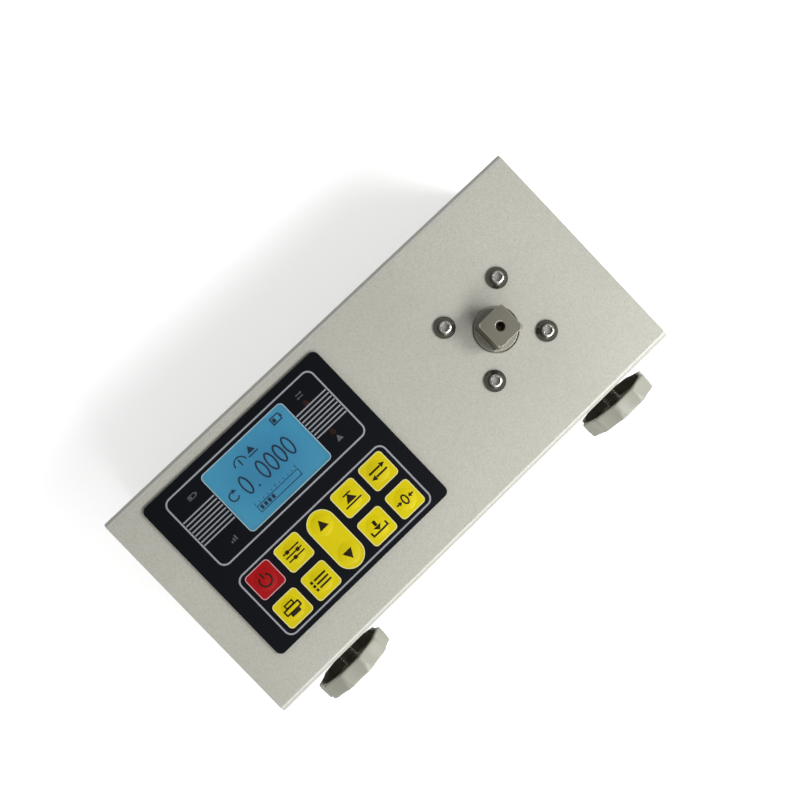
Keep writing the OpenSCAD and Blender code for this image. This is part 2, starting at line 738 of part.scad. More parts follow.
module main_board() color("#1f5a38") on_board() translate([0, 0, -board_t]) difference() {
    rounded_plate(board_l, board_w, bezel_gap + bezel_wall, board_t);
    at_each(corner_places(board_l, board_w, board_hole_inset))
        translate([0, 0, -cut]) cylinder(r = small_hole_r, h = board_t + 2 * cut);
}

// Processor, memory, converter and the shield can over the gauge amplifier
module board_chips() color("#26262a") on_board() {
    for (s = chip_share)
        translate([s[0] * board_l, s[1] * board_w, chip_h / 2])
            cube([s[2] * board_l, s[3] * board_l, chip_h], center = true);
    translate([beside_plug_x - shield_l, battery_plug_y - shield_w / 2, 0])
        cube([shield_l, shield_w, shield_h]);
}

module board_capacitors() color("#3b3f66") on_board() for (s = capacitor_share)
    translate([s[0] * board_l, s[1] * board_w, 0]) cylinder(r = capacitor_r, h = capacitor_h);

// Sockets for the display, the keypad, the transducer and the batteries
module board_connectors() color("#e6e2d3") on_case() {
    sockets = [[grid_x, ribbon_y + ribbon_t / 2, ribbon_w + connector_wall, connector_w],
               [grid_x, panel_y - panel_w / 2 + tail_inset, tail_w + connector_wall, connector_w],
               [sensor_plug_x, 0, 2 * connector_w, 2 * connector_w],
               [sensor_plug_x, battery_plug_y, 2 * connector_w, connector_w]];
    for (s = sockets)
        translate([s[0] - s[2] / 2, s[1] - s[3] / 2, board_z]) cube([s[2], s[3], connector_h]);
}

// Hexagonal standoffs, pressed into the tray
module board_standoffs() color("#b0afa8") on_case() translate([board_x, 0, 0])
    at_each(corner_places(board_l, board_w, board_hole_inset)) difference() {
        union() {
            translate([0, 0, sheet_t]) cylinder(r = hex_r(small_nut_af), h = board_lift, $fn = 6);
            cylinder(r = standoff_stub_r, h = sheet_t + board_lift / 2);
        }
        translate([0, 0, sheet_t + board_lift / 2]) cylinder(r = small_screw_r, h = board_lift);
    }

module board_screws() color("#8d8b84") on_board()
    at_each(corner_places(board_l, board_w, board_hole_inset)) small_screw(board_t + board_lift / 2 - cut);

module buzzer() color("#17181a") on_board()
    translate([beside_plug_x - buzzer_r, -battery_plug_y, 0]) difference() {
        cylinder(r = buzzer_r, h = buzzer_h);
        translate([0, 0, buzzer_h / 2]) cylinder(r = buzzer_hole_r, h = buzzer_h);
    }

// Inlet for the adapter's barrel plug, with its centre pin
module dc_jack() color("#18191b") on_case() translate([-wall_x, jack_y, board_z]) {
    difference() {
        translate([0, -jack_w / 2, 0]) cube([jack_l, jack_w, jack_h]);
        translate([-cut, 0, jack_h / 2]) rotate([0, 90, 0])
            cylinder(r = jack_hole_r, h = jack_hole_l + cut);
    }
    translate([jack_hole_l - jack_pin_l, 0, jack_h / 2]) rotate([0, 90, 0])
        cylinder(r = jack_pin_r, h = jack_pin_l + cut);
}

// Data port with its square opening and tongue
module usb_port() color("#b4b6b8") on_case() translate([-wall_x, usb_y, board_z]) {
    difference() {
        translate([0, -usb_w / 2, 0]) cube([usb_l, usb_w, usb_h]);
        translate([-cut, -usb_slot_w / 2, (usb_h - usb_slot_h) / 2])
            cube([usb_slot_l + cut, usb_slot_w, usb_slot_h]);
    }
    translate([usb_slot_l - usb_tongue_l, -usb_tongue_w / 2, (usb_h - usb_tongue_h) / 2])
        cube([usb_tongue_l + cut, usb_tongue_w, usb_tongue_h]);
}

// Places of the screws in the holder's two ears
function ear_places() = [for (y = [-1, 1]) [0, y * (holder_w + holder_ear) / 2, 0]];

// Open battery holder with an ear on each side
module battery_holder() color("#232326") on_drive() translate([0, 0, sheet_t]) difference() {
    union() {
        translate([-holder_l / 2, -holder_w / 2, 0]) cube([holder_l, holder_w, holder_h]);
        translate([-holder_ear / 2, -holder_w / 2 - holder_ear, 0])
            cube([holder_ear, holder_w + 2 * holder_ear, holder_wall]);
    }
    translate([holder_wall - holder_l / 2, holder_wall - holder_w / 2, holder_wall])
        cube([holder_l - 2 * holder_wall, holder_w - 2 * holder_wall, holder_h]);
    at_each(ear_places()) translate([0, 0, -cut]) cylinder(r = small_hole_r, h = holder_wall + 2 * cut);
}

module battery_cells() color("#3f6f9f") on_drive() for (i = [0 : cell_count - 1])
    translate([(i - (cell_count - 1) / 2) * (2 * cell_r + cell_space), 0, sheet_t + holder_wall + cell_r])
        rotate([90, 0, i % 2 * 180]) {
            translate([0, 0, -cell_l / 2]) cylinder(r = cell_r, h = cell_l);
            cylinder(r = cell_button_r, h = cell_l / 2 + cell_button_h);
        }

module battery_screws() color("#8d8b84") on_drive() at_each(ear_places())
    translate([0, 0, sheet_t + holder_wall]) small_screw(holder_wall + sheet_t);

// Battery lead, in an arch from the holder's wall down on its socket on the main board
module battery_lead() color("#8e2b28") on_case() {
    start = [drive_x + (holder_wall - holder_l) / 2, battery_plug_y, sheet_t + holder_h];
    finish = [sensor_plug_x, battery_plug_y, board_z + connector_h];
    rise = [0, 0, battery_lead_slack];
    lead([start, start + rise, finish + rise, finish], battery_lead_r);
}

// Nuts welded inside the long wall, which carry the levelling feet
module foot_nuts() color("#b0afa8") on_case() for (x = [-1, 1])
    translate([x * foot_x, sheet_t + stud_nut_t - half_w, foot_z]) rotate([90, 0, 0])
        hex_nut(stud_nut_af, stud_nut_t, stud_r + stud_gap);

// A square key: its plate in the overlay's pocket, and the bulge over its switch
module key_bulge() translate([0, 0, panel_t - key_t / 2])
    round_head(bulge_d / 2, bulge_h + key_t / 2, key_t / 2);

module square_key(place) on_top() translate(key_at(place)) {
    translate([0, 0, panel_t - key_t]) rounded_plate(key_size, key_size, key_r, key_t);
    key_bulge();
}

module power_key() color("#a81418") square_key(power_place);
module print_key() color("#dccb0c") square_key(print_place);
module set_key() color("#dccb0c") square_key(set_place);
module view_key() color("#dccb0c") square_key(view_place);
module peak_key() color("#dccb0c") square_key(peak_place);
module save_key() color("#dccb0c") square_key(save_place);
module unit_key() color("#dccb0c") square_key(unit_place);
module zero_key() color("#dccb0c") square_key(zero_place);

// Long key with an arrow at each end, which tips on its middle
module rocker_key() color("#dccb0c") on_top() {
    translate(key_at([0, 1 / 2]) + [0, 0, panel_t - key_t]) long_plate(key_size, rocker_w, key_t);
    at_each([for (place = rocker_places) key_at(place)]) key_bulge();
}

// Stud of a levelling foot, from its seat in the foot through the wall and the nut
module foot_stud(side) color("#9a9a94") on_case() translate([side * foot_x, -half_w, foot_z])
    rotate([-90, 0, 0]) {
        start = -foot_gap - foot_socket_l + stud_end_gap;
        length = stud_inside + sheet_t - start;
        translate([0, 0, start]) cylinder(r = stud_r, h = length - stud_chamfer);
        translate([0, 0, start + length - stud_chamfer])
            cylinder(r1 = stud_r, r2 = stud_r - stud_chamfer, h = stud_chamfer);
    }

module foot_stud_left() foot_stud(-1);
module foot_stud_right() foot_stud(1);

// Scalloped levelling foot: hollow behind, with a hub round the stud and a notch in each lobe
module foot_disc(side) color("#aaaca0") on_case()
    translate([side * foot_x, -half_w - foot_gap, foot_z]) rotate([90, 0, 0]) difference() {
        rotate_extrude() polygon([[0, 0], [foot_r - foot_chamfer, 0], [foot_r, foot_chamfer],
            [foot_r, foot_t - foot_chamfer], [foot_r - foot_chamfer, foot_t], [0, foot_t]]);
        difference() {
            translate([0, 0, -cut]) cylinder(r = foot_r - foot_rim, h = foot_hollow + cut);
            translate([0, 0, -2 * cut]) cylinder(r = foot_hub_r, h = foot_hollow + 4 * cut);
        }
        translate([0, 0, -cut]) cylinder(r = stud_r + stud_gap, h = foot_socket_l + cut);
        for (i = [0 : foot_flutes - 1]) rotate((i + 1 / 2) * 360 / foot_flutes) {
            translate([foot_r + flute_r - flute_depth, 0, -cut])
                cylinder(r = flute_r, h = foot_t + 2 * cut);
            rotate(180 / foot_flutes) translate([foot_r - notch_depth, -notch_w / 2, foot_t - notch_l])
                cube([notch_depth + cut, notch_w, notch_l + cut]);
        }
    }

module foot_disc_left() foot_disc(-1);
module foot_disc_right() foot_disc(1);

top_cover();
base_tray();
cover_screws();
rubber_feet();
rubber_foot_screws();
rubber_foot_nuts();
keypad_overlay();
keypad_circuit();
snap_domes();
keypad_tail();
display_window();
lcd_bezel();
lcd_glass();
lcd_backlight();
lcd_board();
lcd_spacers();
lcd_screws();
indicator_lamps();
display_ribbon();
transducer_housing();
support_bearing();
torque_transducer();
strain_gauges();
transducer_bolts();
head_screws();
sensor_lead();
main_board();
board_chips();
board_capacitors();
board_connectors();
board_standoffs();
board_screws();
buzzer();
dc_jack();
usb_port();
battery_holder();
battery_cells();
battery_screws();
battery_lead();
foot_nuts();
power_key();
print_key();
set_key();
view_key();
rocker_key();
peak_key();
save_key();
unit_key();
zero_key();
foot_stud_left();
foot_stud_right();
foot_disc_left();
foot_disc_right();
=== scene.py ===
import math

import bmesh
import bpy
from mathutils import Matrix, Vector


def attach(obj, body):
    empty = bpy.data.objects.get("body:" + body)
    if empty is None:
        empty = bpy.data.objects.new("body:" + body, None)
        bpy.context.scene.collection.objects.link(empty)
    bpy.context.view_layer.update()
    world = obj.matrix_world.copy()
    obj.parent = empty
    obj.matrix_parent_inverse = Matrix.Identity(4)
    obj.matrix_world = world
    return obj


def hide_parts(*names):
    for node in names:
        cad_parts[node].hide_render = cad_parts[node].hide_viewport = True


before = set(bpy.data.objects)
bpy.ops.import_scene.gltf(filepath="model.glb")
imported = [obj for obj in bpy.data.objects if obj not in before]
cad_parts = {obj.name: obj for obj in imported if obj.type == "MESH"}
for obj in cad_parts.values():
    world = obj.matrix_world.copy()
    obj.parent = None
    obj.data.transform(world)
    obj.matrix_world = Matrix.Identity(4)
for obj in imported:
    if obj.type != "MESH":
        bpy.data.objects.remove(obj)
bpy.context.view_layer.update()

# Case: the upper shell is one sheet of 1.5 mm steel with both long walls and their flanges
# bent down, and the tray is another with the two end walls bent up. Both are powder coated
# warm grey, with a fine texture, slightly rubbed where the coat is thin over the edges.
mm = 0.001
case_y = 8.5 * mm
face_z = 70 * mm
paint_pale = (0.545, 0.54, 0.475, 1)
paint_deep = (0.485, 0.48, 0.42, 1)


def new_material(name):
    """A material with its Principled shader, as nodes, links and shader."""
    material = bpy.data.materials.new(name)
    material.use_nodes = True
    nodes = material.node_tree.nodes
    return material, nodes, material.node_tree.links, nodes["Principled BSDF"]


def new_group(name, inputs, outputs):
    """An empty node group with float inputs and the outputs that it is told."""
    group = bpy.data.node_groups.new(name, "ShaderNodeTree")
    for label, value in inputs:
        socket = group.interface.new_socket(label, in_out="INPUT", socket_type="NodeSocketFloat")
        socket.default_value = value
    for label, kind in outputs:
        group.interface.new_socket(label, in_out="OUTPUT", socket_type=kind)
    return group, group.nodes.new("NodeGroupInput"), group.nodes.new("NodeGroupOutput")


def place_group(nodes, group, **values):
    """The group in a material, with its own values on the named inputs."""
    node = nodes.new("ShaderNodeGroup")
    node.node_tree = group
    for label, value in values.items():
        node.inputs[label.replace("_", " ")].default_value = value
    return node


def feed(links, value, socket):
    """Gives an input a plain value, or a link where the value is a socket."""
    if isinstance(value, bpy.types.NodeSocket):
        links.new(value, socket)
    else:
        socket.default_value = value


def blend(nodes, links, first, second, mask, kind="MIX"):
    """Mixes two colours, each plain or from a socket, by a mask."""
    mix = nodes.new("ShaderNodeMix")
    mix.data_type = "RGBA"
    mix.blend_type = kind
    for label, value in (("A", first), ("B", second), ("Factor", mask)):
        feed(links, value, mix.inputs[label])
    return mix.outputs["Result"]


def ranged(nodes, links, value, low, high, first=0.0, last=1.0, smooth=False):
    """Takes a value from one range to another, straight or eased at both ends."""
    span = nodes.new("ShaderNodeMapRange")
    if smooth:
        span.interpolation_type = "SMOOTHSTEP"
    for label, setting in (("Value", value), ("From Min", low), ("From Max", high),
                           ("To Min", first), ("To Max", last)):
        feed(links, setting, span.inputs[label])
    return span.outputs["Result"]


def calculate(nodes, links, kind, operation, *values):
    """A maths node, with each of its values plain or from a socket."""
    node = nodes.new(kind)
    node.operation = operation
    for socket, value in zip(node.inputs, values):
        feed(links, value, socket)
    return node


def dress(material, *names):
    """Gives a material to CAD nodes that keep their own shape."""
    for name in names:
        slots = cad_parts[name].data.materials
        slots.clear()
        slots.append(material)


# Grain of a coat, a film or a moulding, and a soft drift of light and dark over it
grain, grain_in, grain_out = new_group(
    "surface_grain", [("Size", 1200), ("Drift size", 25)],
    [("Fleck", "NodeSocketFloat"), ("Drift", "NodeSocketFloat")])
where = grain.nodes.new("ShaderNodeTexCoord")
for label, source, detail in (("Fleck", "Size", 3), ("Drift", "Drift size", 4)):
    noise = grain.nodes.new("ShaderNodeTexNoise")
    noise.inputs["Detail"].default_value = detail
    grain.links.new(where.outputs["Object"], noise.inputs["Vector"])
    grain.links.new(grain_in.outputs[source], noise.inputs["Scale"])
    grain.links.new(noise.outputs["Fac"], grain_out.inputs[label])

# Edges as they are after deburring and coating: a small round, and a mask of where it is
edges, edges_in, edges_out = new_group(
    "worked_edges", [("Radius", 0.3 * mm), ("Reach", 4)],
    [("Normal", "NodeSocketVector"), ("Mask", "NodeSocketFloat")])
rounding = edges.nodes.new("ShaderNodeBevel")
rounding.samples = 6
shape = edges.nodes.new("ShaderNodeNewGeometry")
edges.links.new(edges_in.outputs["Radius"], rounding.inputs["Radius"])
facing = calculate(edges.nodes, edges.links, "ShaderNodeVectorMath", "DOT_PRODUCT",
                   rounding.outputs["Normal"], shape.outputs["Normal"])
turned = calculate(edges.nodes, edges.links, "ShaderNodeMath", "SUBTRACT", 1,
                   facing.outputs["Value"])
lift = calculate(edges.nodes, edges.links, "ShaderNodeMath", "MULTIPLY",
                 turned.outputs["Value"], edges_in.outputs["Reach"])
lift.use_clamp = True
edges.links.new(rounding.outputs["Normal"], edges_out.inputs["Normal"])
edges.links.new(lift.outputs["Value"], edges_out.inputs["Mask"])

# A mask by height, for a turned part whose skin differs near its foot
height_shade, height_in, height_out = new_group(
    "height_shade", [("Low", 0.0), ("High", 1.0)], [("Mask", "NodeSocketFloat")])
spot = height_shade.nodes.new("ShaderNodeTexCoord")
axes = height_shade.nodes.new("ShaderNodeSeparateXYZ")
height_shade.links.new(spot.outputs["Object"], axes.inputs["Vector"])
level = ranged(height_shade.nodes, height_shade.links, axes.outputs["Z"],
               height_in.outputs["Low"], height_in.outputs["High"], smooth=True)
height_shade.links.new(level, height_out.inputs["Mask"])

# What all skins share: the parts of the drift and the grain that show as shades and specks,
# how much the roughness drifts, how deep the grain is, how rough a clear coat is, and how far
# up a bend faces where its painted highlight starts, is full and ends
drift_range = (0.3, 0.7)
speck_range = (0.42, 0.62)
speck_dark = 0.72
rough_drift = 0.07
grain_depth = 0.1 * mm
coat_rough = 0.12
bend_highlight_band = ((0.88, 0), (0.94, 1), (0.975, 1), (0.994, 0))


def coloured(name, pale, deep, rough, size=1200, bump=0.3, radius=0.3 * mm, worn=None,
             drift_size=25, metallic=0.0, specular=0.5, low=None, speckle=0.0, gloss=0.0,
             tilt_shade=None, bend_highlight=None):
    """A coat, film, moulding or metal in two near shades, with its grain and rounded edges.

    It can have dark specks, another shade low down, a painted highlight along its bends, and
    painted shade where it turns away from level.
    """
    material, nodes, links, shader = new_material(name)
    texture = place_group(nodes, grain, Size=size, Drift_size=drift_size)
    edge = place_group(nodes, edges, Radius=radius)
    tone = ranged(nodes, links, texture.outputs["Drift"], *drift_range)
    colour = blend(nodes, links, pale, deep, tone)
    if speckle:
        specks = ranged(nodes, links, texture.outputs["Fleck"], *speck_range, last=speckle)
        colour = blend(nodes, links, colour, [c * speck_dark for c in deep[:3]] + [1], specks)
    if low:
        shade = place_group(nodes, height_shade, Low=low[1], High=low[2])
        colour = blend(nodes, links, low[0], colour, shade.outputs["Mask"])
    if tilt_shade or bend_highlight:
        facing = nodes.new("ShaderNodeTexCoord")
        facing_z = nodes.new("ShaderNodeSeparateXYZ")
        links.new(facing.outputs["Normal"], facing_z.inputs["Vector"])
    if bend_highlight:
        ramp = nodes.new("ShaderNodeValToRGB")
        stops = ramp.color_ramp.elements
        stops.remove(stops[1])
        stops[0].position = bend_highlight_band[0][0]
        for place, full in bend_highlight_band[1:]:
            stops.new(place).color = (full, full, full, 1)
        links.new(facing_z.outputs["Z"], ramp.inputs["Fac"])
        colour = blend(nodes, links, colour, bend_highlight, ramp.outputs["Color"])
    # Painted shade: the colour turns darker as the face turns away from level
    if tilt_shade:
        level = ranged(nodes, links, facing_z.outputs["Z"], tilt_shade[1], tilt_shade[2])
        colour = blend(nodes, links, tilt_shade[0], colour, level)
    colour = blend(nodes, links, colour, worn or pale, edge.outputs["Mask"])
    links.new(colour, shader.inputs["Base Color"])
    polish = ranged(nodes, links, texture.outputs["Drift"], 0, 1, rough - rough_drift,
                    rough + rough_drift)
    links.new(polish, shader.inputs["Roughness"])
    rise = nodes.new("ShaderNodeBump")
    rise.inputs["Strength"].default_value = bump
    rise.inputs["Distance"].default_value = grain_depth
    links.new(texture.outputs["Fleck"], rise.inputs["Height"])
    links.new(edge.outputs["Normal"], rise.inputs["Normal"])
    links.new(rise.outputs["Normal"], shader.inputs["Normal"])
    shader.inputs["Metallic"].default_value = metallic
    shader.inputs["Specular IOR Level"].default_value = specular
    shader.inputs["Coat Weight"].default_value = gloss
    shader.inputs["Coat Roughness"].default_value = coat_rough
    return material


# The paint has a painted highlight, a paler line where each bend starts to turn down, and painted
# shade, darker as its faces turn from level towards the walls
case_paint = coloured("case_paint", paint_pale, paint_deep, 0.36, size=1650, bump=0.8,
                      radius=0.5 * mm, worn=(0.57, 0.565, 0.50, 1), drift_size=12,
                      speckle=0.38, gloss=0.2, specular=0.35, bend_highlight=(0.62, 0.62, 0.58, 1),
                      tilt_shade=((0.43, 0.425, 0.375, 1), 0.5, 0.93))
dress(case_paint, "top_cover", "base_tray")

# Screws, nuts and standoffs: zinc-plated steel, turned and rolled, with a satin grey skin.
# They hold the flanges, the rubber feet, the boards, the battery holder and the display, whose
# pressed bezel has the same plating.
zinc = coloured("zinc_steel", (0.55, 0.54, 0.50, 1), (0.44, 0.43, 0.39, 1), 0.32,
                size=2600, bump=0.12, radius=0.12 * mm, metallic=1.0, drift_size=180)
dress(zinc, "cover_screws", "rubber_foot_screws", "rubber_foot_nuts", "lcd_bezel", "lcd_spacers",
      "lcd_screws", "board_standoffs", "board_screws", "battery_screws", "foot_nuts")

# Rubber feet: four black moulded feet under the tray, matt and finely grained, each with a
# screw in its recess that holds it to the floor of the tray.
rubber = coloured("rubber", (0.022, 0.022, 0.023, 1), (0.015, 0.015, 0.016, 1), 0.8,
                  size=2200, bump=0.5, radius=0.5 * mm)
dress(rubber, "rubber_feet")

# Keypad: a black printed polyester overlay on a circuit film, stuck on the case. The silver
# frames, the stripes beside the display and the small signs are screen printed on its face.
laminate_z = 71.2 * mm
grid_x = -54.5 * mm
row_low = -27.4 * mm + case_y
pitch_x = 17.7 * mm
pitch_y = 17.9 * mm
key_size = 14.2 * mm
ink_t = 0.02 * mm
ink_gap = 0.01 * mm
ink_cut = 0.6 * mm
ink_cuts = 22
window_l = 49.4 * mm
window_w = 34.1 * mm
window_y = 27.2 * mm + case_y
window_r = 2 * mm


def rounded_face(bm, x, y, length, width, radius, segments=6):
    """A flat rounded rectangle facing up, made by bevelling a quad's corners."""
    before = set(bm.faces)
    made = bmesh.ops.create_grid(bm, x_segments=1, y_segments=1, size=0.5)["verts"]
    bmesh.ops.scale(bm, vec=(length, width, 1), verts=made)
    bmesh.ops.translate(bm, vec=(x, y, 0), verts=made)
    if radius:
        bmesh.ops.bevel(bm, geom=made, offset=radius, offset_type="OFFSET", profile=0.5,
                        segments=segments, affect="VERTICES", material=-1)
    return next(f for f in bm.faces if f not in before)


def cut_ring(bm, face, line):
    """Leaves only a flat face's border, of one width."""
    bmesh.ops.inset_region(bm, faces=[face], thickness=line, use_even_offset=True,
                           use_boundary=True)
    bmesh.ops.delete(bm, geom=[face], context="FACES")


def outline(bm, x, y, length, width, radius, line, segments=6):
    """A rounded rectangle's line of one width."""
    cut_ring(bm, rounded_face(bm, x, y, length, width, radius, segments), line)


def arc(bm, x, y, radius, line, start, sweep, steps=24, squeeze=1.0):
    """A round line about a centre, from a start angle over a sweep in degrees."""
    before = set(bm.verts)
    near = bm.verts.new((radius - line / 2, 0, 0))
    far = bm.verts.new((radius + line / 2, 0, 0))
    edge = bm.edges.new((near, far))
    turn = Matrix.Rotation(math.radians(start), 4, "Z")
    bmesh.ops.rotate(bm, matrix=turn.to_3x3(), verts=[near, far])
    bmesh.ops.spin(bm, geom=[near, far, edge], cent=(0, 0, 0), axis=(0, 0, 1), dvec=(0, 0, 0),
                   angle=math.radians(sweep), steps=steps, use_merge=sweep == 360,
                   use_normal_flip=False, use_duplicate=False)
    made = [v for v in bm.verts if v not in before]
    bmesh.ops.scale(bm, vec=(1, squeeze, 1), verts=made)
    bmesh.ops.translate(bm, vec=(x, y, 0), verts=made)


def oval(bm, x, y, length, width, line, steps=40):
    """An oval's line of one width, as a display draws a nought."""
    made = bmesh.ops.create_circle(bm, cap_ends=True, segments=steps, radius=0.5)["verts"]
    bmesh.ops.scale(bm, vec=(length, width, 1), verts=made)
    bmesh.ops.translate(bm, vec=(x, y, 0), verts=made)
    cut_ring(bm, made[0].link_faces[0], line)


def triangle(bm, x, y, length, width, turn):
    """A filled triangle that points along a direction in degrees."""
    made = bmesh.ops.create_circle(bm, cap_ends=True, segments=3, radius=1)["verts"]
    tip = Matrix.Rotation(math.radians(turn), 4, "Z")
    bmesh.ops.rotate(bm, matrix=Matrix.Rotation(math.radians(-90), 3, "Z"), verts=made)
    bmesh.ops.scale(bm, vec=(length / 1.5, width / math.sqrt(3), 1), verts=made)
    bmesh.ops.rotate(bm, matrix=tip.to_3x3(), verts=made)
    bmesh.ops.translate(bm, vec=(x, y, 0), verts=made)


def make_piece(bm, name, material, body, smooth=35):
    """Turns a bmesh into an object at the origin that rides on a CAD body."""
    mesh = bpy.data.meshes.new(name)
    bm.to_mesh(mesh)
    bm.free()
    mesh.materials.append(material)
    mesh.shade_smooth()
    mesh.set_sharp_from_angle(angle=math.radians(smooth))
    piece = bpy.data.objects.new(name, mesh)
    bpy.context.scene.collection.objects.link(piece)
    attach(piece, body)
    return piece


def thicken(bm, height):
    """Gives flat faces their thickness, upwards."""
    for f in bm.faces:
        f.normal_update()
        if f.normal.z < 0:
            f.normal_flip()
    raised = bmesh.ops.extrude_face_region(bm, geom=bm.faces[:], use_keep_orig=True)["geom"]
    top = [g for g in raised if isinstance(g, bmesh.types.BMVert)]
    bmesh.ops.translate(bm, vec=(0, 0, height), verts=top)


def print_ink(bm, name, material, body, z, x=0, y=0, height=None):
    """Thickens flat shapes into ink on a face, and lets them settle on a curved one."""
    if height:
        for axis in (Vector((1, 0, 0)), Vector((0, 1, 0))):
            for step in range(-ink_cuts, ink_cuts + 1):
                bmesh.ops.bisect_plane(bm, geom=bm.verts[:] + bm.edges[:] + bm.faces[:],
                                       plane_co=Vector((x, y, 0)) + axis * (step * ink_cut),
                                       plane_no=axis)
    thicken(bm, ink_t)
    for v in bm.verts:
        v.co.z += z + (height(v.co.x, v.co.y) + ink_gap if height else 0)
    bmesh.ops.recalc_face_normals(bm, faces=bm.faces)
    return make_piece(bm, name, material, body)


def ink(name, pale, deep, rough=0.45, bump=0.1, specular=0.5):
    """Screen ink, thin and dense, in two near shades."""
    return coloured(name, pale, deep, rough, size=4000, bump=bump, radius=0.01 * mm,
                    specular=specular)


overlay_black = coloured("overlay_black", (0.005, 0.006, 0.009, 1), (0.003, 0.004, 0.006, 1), 0.42,
                         size=3000, bump=0.12, radius=0.15 * mm, specular=0.14)
circuit_film = coloured("circuit_film", (0.02, 0.02, 0.03, 1), (0.015, 0.015, 0.02, 1), 0.4)
dress(overlay_black, "keypad_overlay")
dress(circuit_film, "keypad_circuit")
silver_ink = ink("silver_ink", (0.34, 0.35, 0.38, 1), (0.29, 0.30, 0.33, 1))
grey_ink = ink("grey_ink", (0.10, 0.105, 0.115, 1), (0.08, 0.085, 0.095, 1), 0.5)

lines = bmesh.new()
line_w = 0.8 * mm
line_r = 4 * mm
stripe_w = 0.65 * mm
stripe_pitch = 1.957 * mm
stripe_low = 20.7 * mm + case_y
outline(lines, -54.7 * mm, 27.1 * mm + case_y, 90.6 * mm, 40.5 * mm, line_r, line_w)
outline(lines, -54.55 * mm, -18.6 * mm + case_y, 90.9 * mm, 36.6 * mm, line_r, line_w)
for row in range(8):
    stripe_y = stripe_low + stripe_pitch * row
    for start, end in ((-98.9, -80.2), (-28.9, -10.5)):
        rounded_face(lines, (start + end) / 2 * mm, stripe_y, (end - start) * mm, stripe_w, 0)
print_ink(lines, "keypad_silver_lines", silver_ink, "case", laminate_z)
window_ink = ink("window_ink", (0.36, 0.50, 0.56, 1), (0.30, 0.44, 0.50, 1))
window_edge = 0.5 * mm
window_line = bmesh.new()
outline(window_line, grid_x, window_y, window_l + 2 * window_edge, window_w + 2 * window_edge,
        window_r + 0.4 * mm, 0.48 * mm)
print_ink(window_line, "display_border", window_ink, "case", laminate_z)

signs = bmesh.new()
signs_left = -87.8 * mm
signs_right = -21.3 * mm
signs_low = 13.8 * mm + case_y
signs_high = 40.7 * mm + case_y
triangle(signs, signs_right, signs_low, 3.0 * mm, 3.4 * mm, 90)
outline(signs, signs_left, signs_high, 4.2 * mm, 2.2 * mm, 0.3 * mm, 0.4 * mm, 2)
rounded_face(signs, signs_left + 2.5 * mm, signs_high, 0.6 * mm, 1.1 * mm, 0)
rounded_face(signs, signs_left - 0.8 * mm, signs_high, 1.2 * mm, 1.0 * mm, 0)
for step in range(3):
    rounded_face(signs, signs_left + (1.3 * step - 1.0) * mm, signs_low + (0.35 * step - 0.7) * mm,
                 0.7 * mm, (1.0 + 0.7 * step) * mm, 0)
for side in (-1, 1):
    arrow_y = signs_high + 0.8 * side * mm
    rounded_face(signs, signs_right - 0.4 * side * mm, arrow_y, 2.4 * mm, 0.45 * mm, 0)
    triangle(signs, signs_right + 1.3 * side * mm, arrow_y, 1.1 * mm, 1.3 * mm, 90 - 90 * side)
print_ink(signs, "keypad_signs", grey_ink, "case", laminate_z)

# Keys: nine yellow and red fields of embossed film, each a plate in its slot with a round
# bulge over its snap dome. Each is printed with a thin pale border and a plain dark sign.
bulge_r = 5.4 * mm
bulge_h = 0.6 * mm
bulge_ball = (bulge_r * bulge_r + bulge_h * bulge_h) / (2 * bulge_h)
yellow = coloured("key_yellow", (0.70, 0.585, 0.004, 1), (0.62, 0.51, 0.003, 1), 0.28, size=3200,
                  bump=0.12, radius=0.25 * mm, worn=(0.80, 0.70, 0.05, 1), drift_size=60,
                  specular=0.3)
red = coloured("key_red", (0.38, 0.007, 0.009, 1), (0.30, 0.005, 0.007, 1), 0.28, size=3200,
               bump=0.12, radius=0.25 * mm, worn=(0.50, 0.04, 0.04, 1), drift_size=60,
               specular=0.3)
key_ink = ink("key_ink", (0.018, 0.012, 0.003, 1), (0.012, 0.008, 0.002, 1), 0.42, specular=0.22)
pale_yellow = ink("border_ink_pale", (0.78, 0.74, 0.36, 1), (0.70, 0.66, 0.30, 1), 0.4)
pale_pink = ink("border_ink_pink", (0.62, 0.38, 0.40, 1), (0.55, 0.32, 0.34, 1), 0.4)
border_w = 0.38 * mm
border_in = 0.1 * mm
dress(red, "power_key")
dress(yellow, "print_key", "set_key", "view_key", "rocker_key", "peak_key", "save_key",
      "unit_key", "zero_key")


def key_centre(column, row):
    """Middle of the key in a column counted from the long key, and in a row."""
    return grid_x + column * pitch_x, row_low + row * pitch_y


def bulge_height(centres):
    """Height of the key's face over its plate, which is round over each switch."""
    def height(x, y):
        for cx, cy in centres:
            apart = math.hypot(x - cx, y - cy)
            if apart < bulge_r:
                return math.sqrt(bulge_ball ** 2 - apart ** 2) - bulge_ball + bulge_h
        return 0
    return height


# The plain signs, each drawn about the middle of its key
def sign_power(bm, x, y):
    arc(bm, x, y - 0.2 * mm, 2.9 * mm, 0.8 * mm, 125, 290, 30)
    rounded_face(bm, x, y + 2.3 * mm, 0.8 * mm, 3.0 * mm, 0)


def sign_print(bm, x, y):
    outline(bm, x, y, 9.0 * mm, 3.2 * mm, 0.5 * mm, 0.8 * mm, 2)
    outline(bm, x, y + 2.35 * mm, 5.0 * mm, 2.4 * mm, 0, 0.7 * mm)
    rounded_face(bm, x, y - 2.1 * mm, 5.2 * mm, 2.2 * mm, 0)


def sign_set(bm, x, y):
    for row, knob in ((2.1, -2.2), (0, 2.3), (-2.1, -0.8)):
        rounded_face(bm, x, y + row * mm, 9.4 * mm, 0.7 * mm, 0)
        rounded_face(bm, x + knob * mm, y + row * mm, 1.7 * mm, 1.8 * mm, 0.3 * mm, 2)


def sign_view(bm, x, y):
    for row in (2.1, 0, -2.1):
        rounded_face(bm, x + 1.0 * mm, y + row * mm, 6.8 * mm, 0.95 * mm, 0)
        rounded_face(bm, x - 3.9 * mm, y + row * mm, 1.3 * mm, 1.3 * mm, 0)


